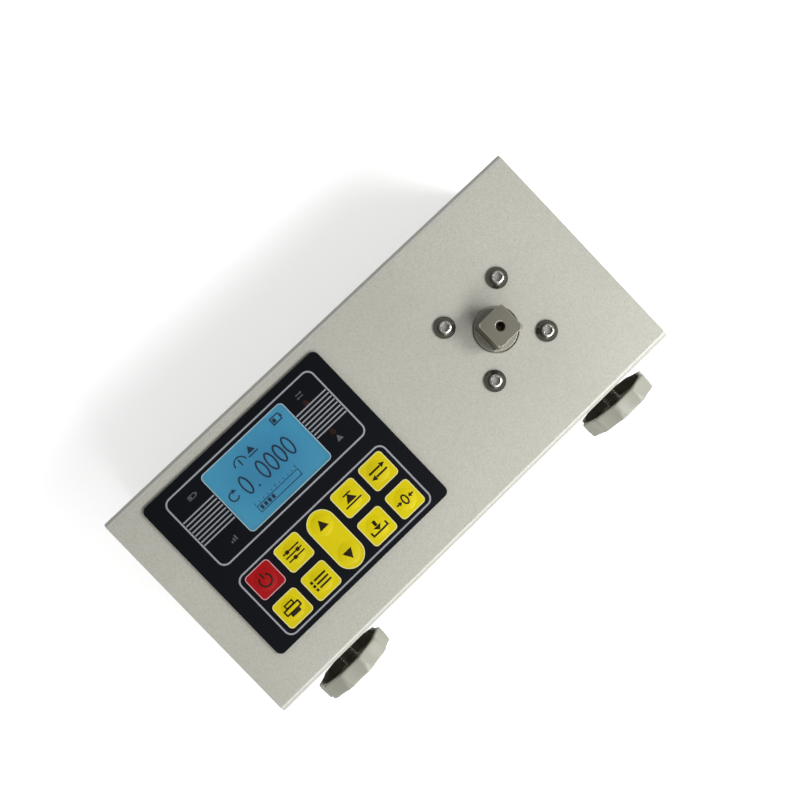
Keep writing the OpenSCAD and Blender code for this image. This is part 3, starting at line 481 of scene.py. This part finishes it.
def sign_peak(bm, x, y):
    rounded_face(bm, x, y - 2.5 * mm, 9.4 * mm, 0.8 * mm, 0)
    rounded_face(bm, x, y + 2.6 * mm, 4.4 * mm, 0.7 * mm, 0)
    triangle(bm, x, y - 0.1 * mm, 3.9 * mm, 6.0 * mm, 90)


def sign_save(bm, x, y):
    rounded_face(bm, x, y + 1.8 * mm, 1.6 * mm, 2.6 * mm, 0)
    triangle(bm, x, y - 0.5 * mm, 2.2 * mm, 4.6 * mm, -90)
    rounded_face(bm, x, y - 2.6 * mm, 9.4 * mm, 0.9 * mm, 0)
    for side in (-1, 1):
        rounded_face(bm, x + side * 4.25 * mm, y - 1.35 * mm, 0.9 * mm, 1.8 * mm, 0)


def sign_unit(bm, x, y):
    for side in (-1, 1):
        rounded_face(bm, x - side * 1.0 * mm, y + side * 1.45 * mm, 6.6 * mm, 0.95 * mm, 0)
        triangle(bm, x + side * 3.3 * mm, y + side * 1.45 * mm, 2.6 * mm, 2.7 * mm, 90 - 90 * side)


def sign_zero(bm, x, y):
    oval(bm, x, y, 3.4 * mm, 5.4 * mm, 0.8 * mm, 32)
    for side in (-1, 1):
        rounded_face(bm, x + side * 4.3 * mm, y, 1.4 * mm, 0.8 * mm, 0)
        triangle(bm, x + side * 3.1 * mm, y, 1.6 * mm, 2.5 * mm, 90 + 90 * side)


for key, column, row, sign in (
        ("power", -2, 1, sign_power), ("print", -2, 0, sign_print), ("set", -1, 1, sign_set),
        ("view", -1, 0, sign_view), ("peak", 1, 1, sign_peak), ("save", 1, 0, sign_save),
        ("unit", 2, 1, sign_unit), ("zero", 2, 0, sign_zero)):
    x, y = key_centre(column, row)
    border_ink = pale_pink if key == "power" else pale_yellow
    border = bmesh.new()
    outline(border, x, y, key_size - border_in, key_size - border_in, 2.0 * mm, border_w)
    print_ink(border, key + "_key_border", border_ink, key, laminate_z)
    face = bmesh.new()
    sign(face, x, y)
    print_ink(face, key + "_key_sign", key_ink, key, laminate_z,
              x, y, bulge_height([(x, y)]))

rocker_l = key_size
rocker_w = pitch_y + key_size + 0.3 * mm
rocker_y = row_low + pitch_y / 2
rim = bmesh.new()
outline(rim, grid_x, rocker_y, rocker_l - border_in, rocker_w - border_in,
        rocker_l / 2 - 0.06 * mm, border_w, 16)
print_ink(rim, "rocker_key_border", pale_yellow, "rocker", laminate_z)
arrows = bmesh.new()
ends = [key_centre(0, 0), key_centre(0, 1)]
triangle(arrows, ends[1][0], ends[1][1] - 0.2 * mm, 4.6 * mm, 5.2 * mm, 90)
triangle(arrows, ends[0][0], ends[0][1] + 0.2 * mm, 4.6 * mm, 5.2 * mm, -90)
print_ink(arrows, "rocker_key_arrows", key_ink, "rocker", laminate_z,
          grid_x, rocker_y, bulge_height(ends))

# Display: a backlit blue dot display behind a clear hard-coated window in the laminate. The
# picture is dark noughts, a bar scale and plain signs: battery, turning arrow, gauge and peak.
face_t = 0.35 * mm
film_gap = 0.25 * mm
dot_pitch = 0.4 * mm
dot_gap = 0.03 * mm


def display_blue(name):
    """Lit blue picture: deeper in the middle, paler round the edge, in a fine grid of dots."""
    material, nodes, links, shader = new_material(name)
    where = nodes.new("ShaderNodeTexCoord")
    centred = calculate(nodes, links, "ShaderNodeVectorMath", "SUBTRACT",
                        where.outputs["Object"], (grid_x, window_y, 0))
    spread = calculate(nodes, links, "ShaderNodeVectorMath", "MULTIPLY",
                       centred.outputs["Vector"],
                       (1 / (window_l * 0.55), 1 / (window_w * 0.60), 0))
    away = calculate(nodes, links, "ShaderNodeVectorMath", "LENGTH", spread.outputs["Vector"])
    glow = ranged(nodes, links, away.outputs["Value"], 0.2, 1.1, smooth=True)
    picture = blend(nodes, links, (0.034, 0.205, 0.38, 1), (0.055, 0.285, 0.45, 1), glow)
    texture = place_group(nodes, grain, Size=260, Drift_size=45)
    picture = blend(nodes, links, picture, (0.085, 0.32, 0.42, 1), blend(
        nodes, links, (0, 0, 0, 1), (0.35, 0.35, 0.35, 1), texture.outputs["Drift"]))
    dots = nodes.new("ShaderNodeTexBrick")
    dots.offset = 0
    for label, value in (("Scale", 1), ("Brick Width", dot_pitch), ("Row Height", dot_pitch),
                         ("Mortar Size", dot_gap), ("Color1", (1, 1, 1, 1)),
                         ("Color2", (1, 1, 1, 1)), ("Mortar", (0.85, 0.88, 0.9, 1))):
        dots.inputs[label].default_value = value
    links.new(where.outputs["Object"], dots.inputs["Vector"])
    screen = blend(nodes, links, picture, dots.outputs["Color"], 1, "MULTIPLY")
    links.new(screen, shader.inputs["Base Color"])
    links.new(screen, shader.inputs["Emission Color"])
    shader.inputs["Emission Strength"].default_value = 0.5
    shader.inputs["Roughness"].default_value = 0.5
    shader.inputs["Specular IOR Level"].default_value = 0.2
    return material


def window_plate(name, material, z, height):
    """A flat plate of the window's outline, between two heights."""
    bm = bmesh.new()
    rounded_face(bm, grid_x, window_y, window_l, window_w, window_r)
    thicken(bm, height)
    bmesh.ops.translate(bm, vec=(0, 0, z), verts=bm.verts)
    bmesh.ops.recalc_face_normals(bm, faces=bm.faces)
    return make_piece(bm, name, material, "case")


window_plate("display_face", display_blue("display_blue"), face_z, face_t)

lcd_ink = ink("display_ink", (0.010, 0.040, 0.085, 1), (0.008, 0.032, 0.07, 1), 0.5, bump=0.05)
digits = bmesh.new()
digit_x = -66.8 * mm
digit_pitch = 5.24 * mm
digit_y = 27.65 * mm + case_y
digit_l = 4.5 * mm
digit_w = 9.9 * mm
digit_line = 0.85 * mm
for place in range(6):
    if place == 1:
        rounded_face(digits, digit_x + digit_pitch * 0.85, digit_y - 4.3 * mm, 1.0 * mm, 1.0 * mm,
                     0.3 * mm, 2)
    else:
        oval(digits, digit_x + place * digit_pitch, digit_y, digit_l, digit_w, digit_line)
arc(digits, -74.2 * mm, digit_y, 2.2 * mm, 0.75 * mm, 60, 270, 24)
triangle(digits, -72.9 * mm, digit_y + 2.0 * mm, 2.2 * mm, 2.4 * mm, -20)
battery_x = -36.4 * mm
battery_y = 40.3 * mm + case_y
outline(digits, battery_x, battery_y, 5.4 * mm, 3.8 * mm, 0, 0.6 * mm)
rounded_face(digits, battery_x + 2.9 * mm, battery_y, 0.6 * mm, 1.6 * mm, 0)
rounded_face(digits, battery_x - 1.0 * mm, battery_y, 1.7 * mm, 1.9 * mm, 0)
scale_y = 15.4 * mm + case_y
outline(digits, -57.5 * mm, scale_y, 25.5 * mm, 3.6 * mm, 0, 0.4 * mm)
for step in range(4):
    rounded_face(digits, (-68.2 + 2.3 * step) * mm, scale_y, 1.5 * mm, 2.0 * mm, 0)
for step in range(11):
    tall = 1.5 * mm if step % 5 == 0 else 0.8 * mm
    rounded_face(digits, (-70.0 + 2.5 * step) * mm, scale_y + 2.3 * mm + tall / 2, 0.35 * mm,
                 tall, 0)
gauge_x = -61.6 * mm
peak_x = -54.4 * mm
mode_y = 36.4 * mm + case_y
mode_line = 0.65 * mm
arc(digits, gauge_x, mode_y, 3.2 * mm, mode_line, 0, 180, 20)
rounded_face(digits, gauge_x, mode_y + 0.4 * mm, mode_line, 3.4 * mm, 0)
rounded_face(digits, peak_x, mode_y - 0.4 * mm, 5.6 * mm, mode_line, 0)
triangle(digits, peak_x, mode_y + 1.8 * mm, 3.2 * mm, 4.0 * mm, 90)
print_ink(digits, "display_noughts", lcd_ink, "case", face_z + face_t)

clear, clear_nodes, clear_links, clear_shader = new_material("window_clear")
for label, value in (("Transmission Weight", 1), ("IOR", 1.45), ("Roughness", 0.03),
                     ("Base Color", (0.94, 0.97, 0.99, 1)), ("Specular IOR Level", 0.25)):
    clear_shader.inputs[label].default_value = value
clear_grain = place_group(clear_nodes, grain, Size=900, Drift_size=60)
clear_rise = clear_nodes.new("ShaderNodeBump")
clear_rise.inputs["Strength"].default_value = 0.02
clear_rise.inputs["Distance"].default_value = grain_depth
clear_links.new(clear_grain.outputs["Fleck"], clear_rise.inputs["Height"])
clear_links.new(clear_rise.outputs["Normal"], clear_shader.inputs["Normal"])
pane_z = face_z + face_t + film_gap
pane_piece = window_plate("window_film", clear, pane_z, laminate_z - pane_z)
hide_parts("display_window")
lcd_body = coloured("display_glass", (0.10, 0.35, 0.55, 1), (0.08, 0.30, 0.50, 1), 0.2, size=3000,
                    bump=0.03)
dress(lcd_body, "lcd_glass")
diffuser = coloured("backlight_white", (0.80, 0.85, 0.88, 1), (0.76, 0.80, 0.84, 1), 0.5)
dress(diffuser, "lcd_backlight")
lens = coloured("lamp_lens", (0.030, 0.010, 0.010, 1), (0.022, 0.008, 0.008, 1), 0.2, size=3000,
                bump=0.03, radius=0.3 * mm)
dress(lens, "indicator_lamps")

# Torque drive: a hardened steel spindle with a square end, its corners turned down and its
# middle drilled and tapped, satin plated. Four stainless button-head screws hold its alloy
# housing under the cover, and black bolts hold the spindle's flange up beneath the housing.
shoulder_z = (70.2 * mm, 70.9 * mm)
# The square's sides darken as they turn from level: painted shade
spindle = coloured("spindle_steel", (0.46, 0.44, 0.36, 1), (0.37, 0.355, 0.285, 1), 0.36,
                   size=1500, bump=0.3, radius=0.25 * mm, worn=(0.55, 0.53, 0.46, 1), metallic=1.0,
                   drift_size=90, low=((0.66, 0.64, 0.55, 1), *shoulder_z),
                   tilt_shade=((0.15, 0.138, 0.10, 1), 0.2, 0.9))
dress(spindle, "torque_transducer")
# The screws are pale on their flat faces and socket floors and dark on the flanks of their domes:
# painted highlight and painted shade
stainless = coloured("stainless", (0.94, 0.93, 0.86, 1), (0.85, 0.84, 0.77, 1), 0.2, size=2400,
                     bump=0.14, radius=0.3 * mm, metallic=0.7, drift_size=150,
                     tilt_shade=((0.07, 0.07, 0.055, 1), 0.86, 0.987))
dress(stainless, "head_screws", "support_bearing")
alloy = coloured("housing_alloy", (0.62, 0.63, 0.64, 1), (0.55, 0.56, 0.57, 1), 0.35, size=1500,
                 bump=0.2, metallic=1.0)
dress(alloy, "transducer_housing")
black_steel = coloured("black_steel", (0.05, 0.05, 0.05, 1), (0.035, 0.035, 0.035, 1), 0.4,
                       size=2400, bump=0.15, metallic=1.0)
dress(black_steel, "transducer_bolts")

# Electronics: green boards with black parts, white sockets, grey ribbon and film tail,
# thin jacketed leads, a battery holder with wrapped cells, and the two inlets in the end wall.
for name, pale, deep, rough, more, dressed in (
        ("board_green", (0.02, 0.13, 0.05, 1), (0.015, 0.10, 0.04, 1), 0.3,
         {"size": 900, "bump": 0.2}, ("lcd_board", "main_board")),
        ("chip_black", (0.02, 0.02, 0.021, 1), (0.016, 0.016, 0.017, 1), 0.45,
         {"size": 2200, "bump": 0.2}, ("board_chips", "buzzer", "battery_holder")),
        ("capacitor_sleeve", (0.05, 0.06, 0.15, 1), (0.04, 0.05, 0.12, 1), 0.3,
         {}, ("board_capacitors",)),
        ("connector_white", (0.75, 0.72, 0.62, 1), (0.70, 0.66, 0.56, 1), 0.45,
         {}, ("board_connectors",)),
        ("jack_black", (0.02, 0.02, 0.021, 1), (0.016, 0.016, 0.017, 1), 0.4, {}, ("dc_jack",)),
        ("port_shell", (0.62, 0.62, 0.62, 1), (0.55, 0.55, 0.55, 1), 0.22,
         {"size": 2500, "bump": 0.1, "metallic": 1.0}, ("usb_port",)),
        ("ribbon_grey", (0.35, 0.36, 0.38, 1), (0.30, 0.31, 0.33, 1), 0.45,
         {}, ("display_ribbon",)),
        ("tail_film", (0.45, 0.30, 0.10, 1), (0.40, 0.26, 0.08, 1), 0.3, {}, ("keypad_tail",)),
        ("gauge_foil", (0.55, 0.25, 0.06, 1), (0.48, 0.21, 0.05, 1), 0.35,
         {}, ("strain_gauges",)),
        ("dome_metal", (0.60, 0.60, 0.58, 1), (0.54, 0.54, 0.52, 1), 0.2,
         {"metallic": 1.0}, ("snap_domes",)),
        ("lead_jacket", (0.06, 0.06, 0.06, 1), (0.05, 0.05, 0.05, 1), 0.5, {}, ("sensor_lead",)),
        ("battery_lead_red", (0.30, 0.03, 0.02, 1), (0.25, 0.02, 0.015, 1), 0.45,
         {}, ("battery_lead",)),
        ("cell_wrap", (0.05, 0.15, 0.35, 1), (0.04, 0.12, 0.30, 1), 0.25,
         {}, ("battery_cells",))):
    dress(coloured(name, pale, deep, rough, **more), *dressed)

# Levelling feet: two scalloped discs of pale grey moulded plastic, hollow behind, with a
# small sloped notch in each lobe. Each is pressed on a rolled M8 stud that screws in and out
# of a nut inside the long wall.
foot_x = 92.5 * mm
foot_z = 37.5 * mm
foot_back = -59.0 * mm
foot_r = 20.5 * mm
foot_t = 8.5 * mm
foot_rim = 18.2 * mm
hub_r = 7 * mm
hub_sunk = 3 * mm
hollow = 5 * mm
socket_r = 4 * mm
socket_l = 6 * mm
flutes = 10
flute_r = 18 * mm
flute_depth = 1.6 * mm
notch_l = 3.8 * mm
notch_depth = 0.7 * mm
notch_angle = math.radians(5)
lobe = math.radians(360 / flutes)
crest_soft = 0.25 * mm
rim_share = 0.75
rim_slack = 0.05 * mm
mouth_cut = 0.2 * mm
notch_row = 0.4 * mm
disc_steps = 360
foot_plastic = coloured("foot_plastic", (0.40, 0.402, 0.34, 1), (0.35, 0.352, 0.295, 1), 0.4,
                        size=1300, bump=0.3, radius=0.4 * mm, worn=(0.47, 0.472, 0.41, 1),
                        drift_size=40)
# The studs' steel is dark: painted shade, for the gap between the long wall and the disc where
# they stand
stud_steel = coloured("stud_steel", (0.20, 0.195, 0.165, 1), (0.15, 0.145, 0.12, 1), 0.45,
                      size=2400, bump=0.12, metallic=1.0, drift_size=120)
# The hollow's darker colour is painted shade, for the shadow inside the disc
foot_hollow = coloured("foot_hollow", (0.12, 0.112, 0.085, 1), (0.09, 0.084, 0.062, 1), 0.7,
                       size=1300, bump=0.3, radius=0.1 * mm, drift_size=60)


def spun(section, steps):
    """A body of revolution about Z from points of radius and height."""
    bm = bmesh.new()
    points = [bm.verts.new((r, 0, z)) for r, z in section]
    sides = [bm.edges.new(pair) for pair in zip(points, points[1:])]
    bmesh.ops.spin(bm, geom=points + sides, cent=(0, 0, 0), axis=(0, 0, 1), dvec=(0, 0, 0),
                   angle=2 * math.pi, steps=steps, use_merge=True, use_duplicate=False)
    bmesh.ops.remove_doubles(bm, verts=bm.verts, dist=0.001 * mm)
    return bm


def point_outwards(bm, side):
    """Turns a part made about Z so that it points out of the long wall."""
    bmesh.ops.rotate(bm, matrix=Matrix.Rotation(math.radians(90), 3, "X"), verts=bm.verts)
    bmesh.ops.translate(bm, vec=(side * foot_x, foot_back, foot_z), verts=bm.verts)
    bmesh.ops.recalc_face_normals(bm, faces=bm.faces)


# The disc's section: socket for the stud, hub, hollow, then the rim with rounded corners and
# more rows of points where its notches are
edge_r = 0.8 * mm
rounds = [(foot_r - edge_r * (1 - math.sin(a)), edge_r * (1 - math.cos(a)))
          for a in [math.radians(15 * step) for step in range(7)]]
rim_rows = [(foot_r, 2.6 * mm), (foot_r, 4.5 * mm)]
rim_rows += [(foot_r, foot_t - notch_l + step * notch_row) for step in range(7)]
section = [(0, socket_l), (socket_r, socket_l), (socket_r, hub_sunk), (hub_r, hub_sunk),
           (hub_r, hollow), (foot_rim, hollow), (foot_rim, mouth_cut), (foot_rim + mouth_cut, 0)]
section += rounds + rim_rows + [(r, foot_t - z) for r, z in reversed(rounds)]
section += [(foot_rim, foot_t), (hub_r, foot_t), (0, foot_t)]
centre_r = foot_r + flute_r - flute_depth
for side, name in ((-1, "left"), (1, "right")):
    disc = spun(section, disc_steps)
    for v in disc.verts:
        reach = math.hypot(v.co.x, v.co.y)
        if reach > foot_rim - rim_slack:
            # Flutes press the rim in, with soft crests between them, and notches open outwards
            turn = (math.atan2(v.co.y, v.co.x) + lobe / 2) % lobe - lobe / 2
            across = abs(abs(turn) - lobe / 2)
            deep = foot_r - (centre_r * math.cos(across) - math.sqrt(
                flute_r ** 2 - (centre_r * math.sin(across)) ** 2))
            press = (deep + math.hypot(deep, crest_soft)) / 2
            open_to = max(0.0, v.co.z - foot_t + notch_l) / notch_l
            if abs(turn) < notch_angle:
                soft = math.cos(turn / notch_angle * math.pi / 2) ** 2
                press += notch_depth * open_to * soft
            outwards = (reach - foot_rim) / (foot_r - edge_r - foot_rim)
            share = min(1.0, rim_share + (1 - rim_share) * outwards)
            v.co.xy *= (reach - press * share) / reach
    for f in disc.faces:
        # The hollow's floor and wall and the socket get a darker colour, a painted shade for the
        # shadow behind the rim
        middle = f.calc_center_median()
        reach = math.hypot(middle.x, middle.y)
        on_floor = reach < foot_rim - edge_r
        on_wall = reach < foot_rim + rim_slack and middle.z < hollow
        f.material_index = int(middle.z <= socket_l and (on_floor or on_wall))
    point_outwards(disc, side)
    piece = make_piece(disc, "foot_disc_" + name + "_scalloped", foot_plastic, "disc_" + name,
                       32)
    piece.data.materials.append(foot_hollow)
    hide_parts("foot_disc_" + name)

# The thread is one ridge wound up the stud and cut off square at both ends
stud_r = 3.95 * mm
thread_pitch = 1.25 * mm
thread_root = 3.25 * mm
stud_back = 25.0 * mm
stud_front = socket_l - 0.3 * mm
stud_length = stud_back + stud_front
turns = math.ceil(stud_length / thread_pitch) + 2
turn_steps = 32
for side, name in ((-1, "left"), (1, "right")):
    stud = bmesh.new()
    points = [stud.verts.new((r, 0, z * thread_pitch)) for r, z in
              ((thread_root, 0), (thread_root, 0.12), (stud_r, 0.5), (stud_r, 0.62),
               (thread_root, 1))]
    sides = [stud.edges.new(pair) for pair in zip(points, points[1:])]
    bmesh.ops.spin(stud, geom=points + sides, cent=(0, 0, 0), axis=(0, 0, 1),
                   dvec=(0, 0, thread_pitch / turn_steps), angle=2 * math.pi * turns,
                   steps=turns * turn_steps, use_duplicate=False)
    bmesh.ops.remove_doubles(stud, verts=stud.verts, dist=0.002 * mm)
    bmesh.ops.translate(stud, vec=(0, 0, -stud_back - thread_pitch), verts=stud.verts)
    for z, up in ((stud_front, 1), (-stud_back, -1)):
        cut = bmesh.ops.bisect_plane(stud, geom=stud.verts[:] + stud.edges[:] + stud.faces[:],
                                     plane_co=(0, 0, z), plane_no=(0, 0, up), clear_outer=True)
        rim_edges = [g for g in cut["geom_cut"] if isinstance(g, bmesh.types.BMEdge)]
        bmesh.ops.holes_fill(stud, edges=rim_edges, sides=0)
    point_outwards(stud, side)
    piece = make_piece(stud, "foot_stud_" + name + "_threaded", stud_steel, "stud_" + name,
                       25)
    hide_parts("foot_stud_" + name)

# Floor, light and camera: a white table under soft light that comes mostly from the keypad's
# near side, seen from almost straight above and turned as the part lies in the photograph.
floor_mesh = bpy.data.meshes.new("floor")
floor_bm = bmesh.new()
bmesh.ops.create_grid(floor_bm, x_segments=1, y_segments=1, size=3)
floor_bm.to_mesh(floor_mesh)
floor_bm.free()
floor = bpy.data.objects.new("floor", floor_mesh)
bpy.context.scene.collection.objects.link(floor)
table_white, table_nodes, table_links, table_shader = new_material("table_white")
table_shader.inputs["Base Color"].default_value = (0.93, 0.93, 0.93, 1)
table_shader.inputs["Roughness"].default_value = 0.7
floor_mesh.materials.append(table_white)

# To the camera alone the table is lifted towards white, and fully so where it meets the tent
lift_near = 0.3
lift_far = 1.0
lift_least = 0.52
table_path = table_nodes.new("ShaderNodeLightPath")
table_place = table_nodes.new("ShaderNodeTexCoord")
table_reach = calculate(table_nodes, table_links, "ShaderNodeVectorMath", "LENGTH",
                        table_place.outputs["Object"])
table_far = ranged(table_nodes, table_links, table_reach.outputs["Value"], lift_near, lift_far,
                   lift_least, smooth=True)
table_lift = calculate(table_nodes, table_links, "ShaderNodeMath", "MULTIPLY",
                       table_path.outputs["Is Camera Ray"], table_far)
table_links.new(table_lift.outputs["Value"], table_shader.inputs["Emission Strength"])
table_shader.inputs["Emission Color"].default_value = (1, 1, 1, 1)

# A white tent all round, which is dimmer overhead and dimmest behind the case
world = bpy.data.worlds.new("studio")
bpy.context.scene.world = world
world.use_nodes = True
sky_nodes = world.node_tree.nodes
sky_links = world.node_tree.links
heading = sky_nodes.new("ShaderNodeTexCoord")
parts = sky_nodes.new("ShaderNodeSeparateXYZ")
sky_links.new(heading.outputs["Generated"], parts.inputs["Vector"])
overhead = ranged(sky_nodes, sky_links, parts.outputs["Z"], 0.2, 0.75, smooth=True)
behind = ranged(sky_nodes, sky_links, parts.outputs["Y"], -0.85, 0.15, smooth=True)
roof = blend(sky_nodes, sky_links, (0.50, 0.50, 0.50, 1), (0.10, 0.10, 0.10, 1), behind)
tent = blend(sky_nodes, sky_links, (1, 1, 1, 1), roof, overhead)
sky_links.new(tent, sky_nodes["Background"].inputs["Color"])


def area_lamp(name, place, aim, length, width, power):
    """A flat rectangular lamp at a place, turned to a point."""
    lamp = bpy.data.lights.new(name, "AREA")
    lamp.shape = "RECTANGLE"
    lamp.size = length
    lamp.size_y = width
    lamp.energy = power
    holder = bpy.data.objects.new(name, lamp)
    holder.location = place
    holder.rotation_euler = (Vector(aim) - Vector(place)).to_track_quat("-Z", "Y").to_euler()
    bpy.context.scene.collection.objects.link(holder)


area_lamp("key_light", (0.36, -0.26, 0.46), (0.06, 0, 0.05), 0.16, 0.16, 1.0)
area_lamp("front_softbox", (0.14, -0.42, 0.52), (0.03, 0, 0.05), 1.0, 0.16, 3.6)

camera = bpy.data.cameras.new("camera")
camera.lens = 38.25
camera.sensor_width = 36
camera_object = bpy.data.objects.new("camera", camera)
camera_turn = (2.0445, -4.1423, -43.7706)
camera_object.location = (-0.01932, 0.02519, 0.46297)
camera_object.rotation_euler = [math.radians(angle) for angle in camera_turn]
bpy.context.scene.collection.objects.link(camera_object)
bpy.context.scene.camera = camera_object
bpy.context.scene.view_settings.view_transform = "Standard"
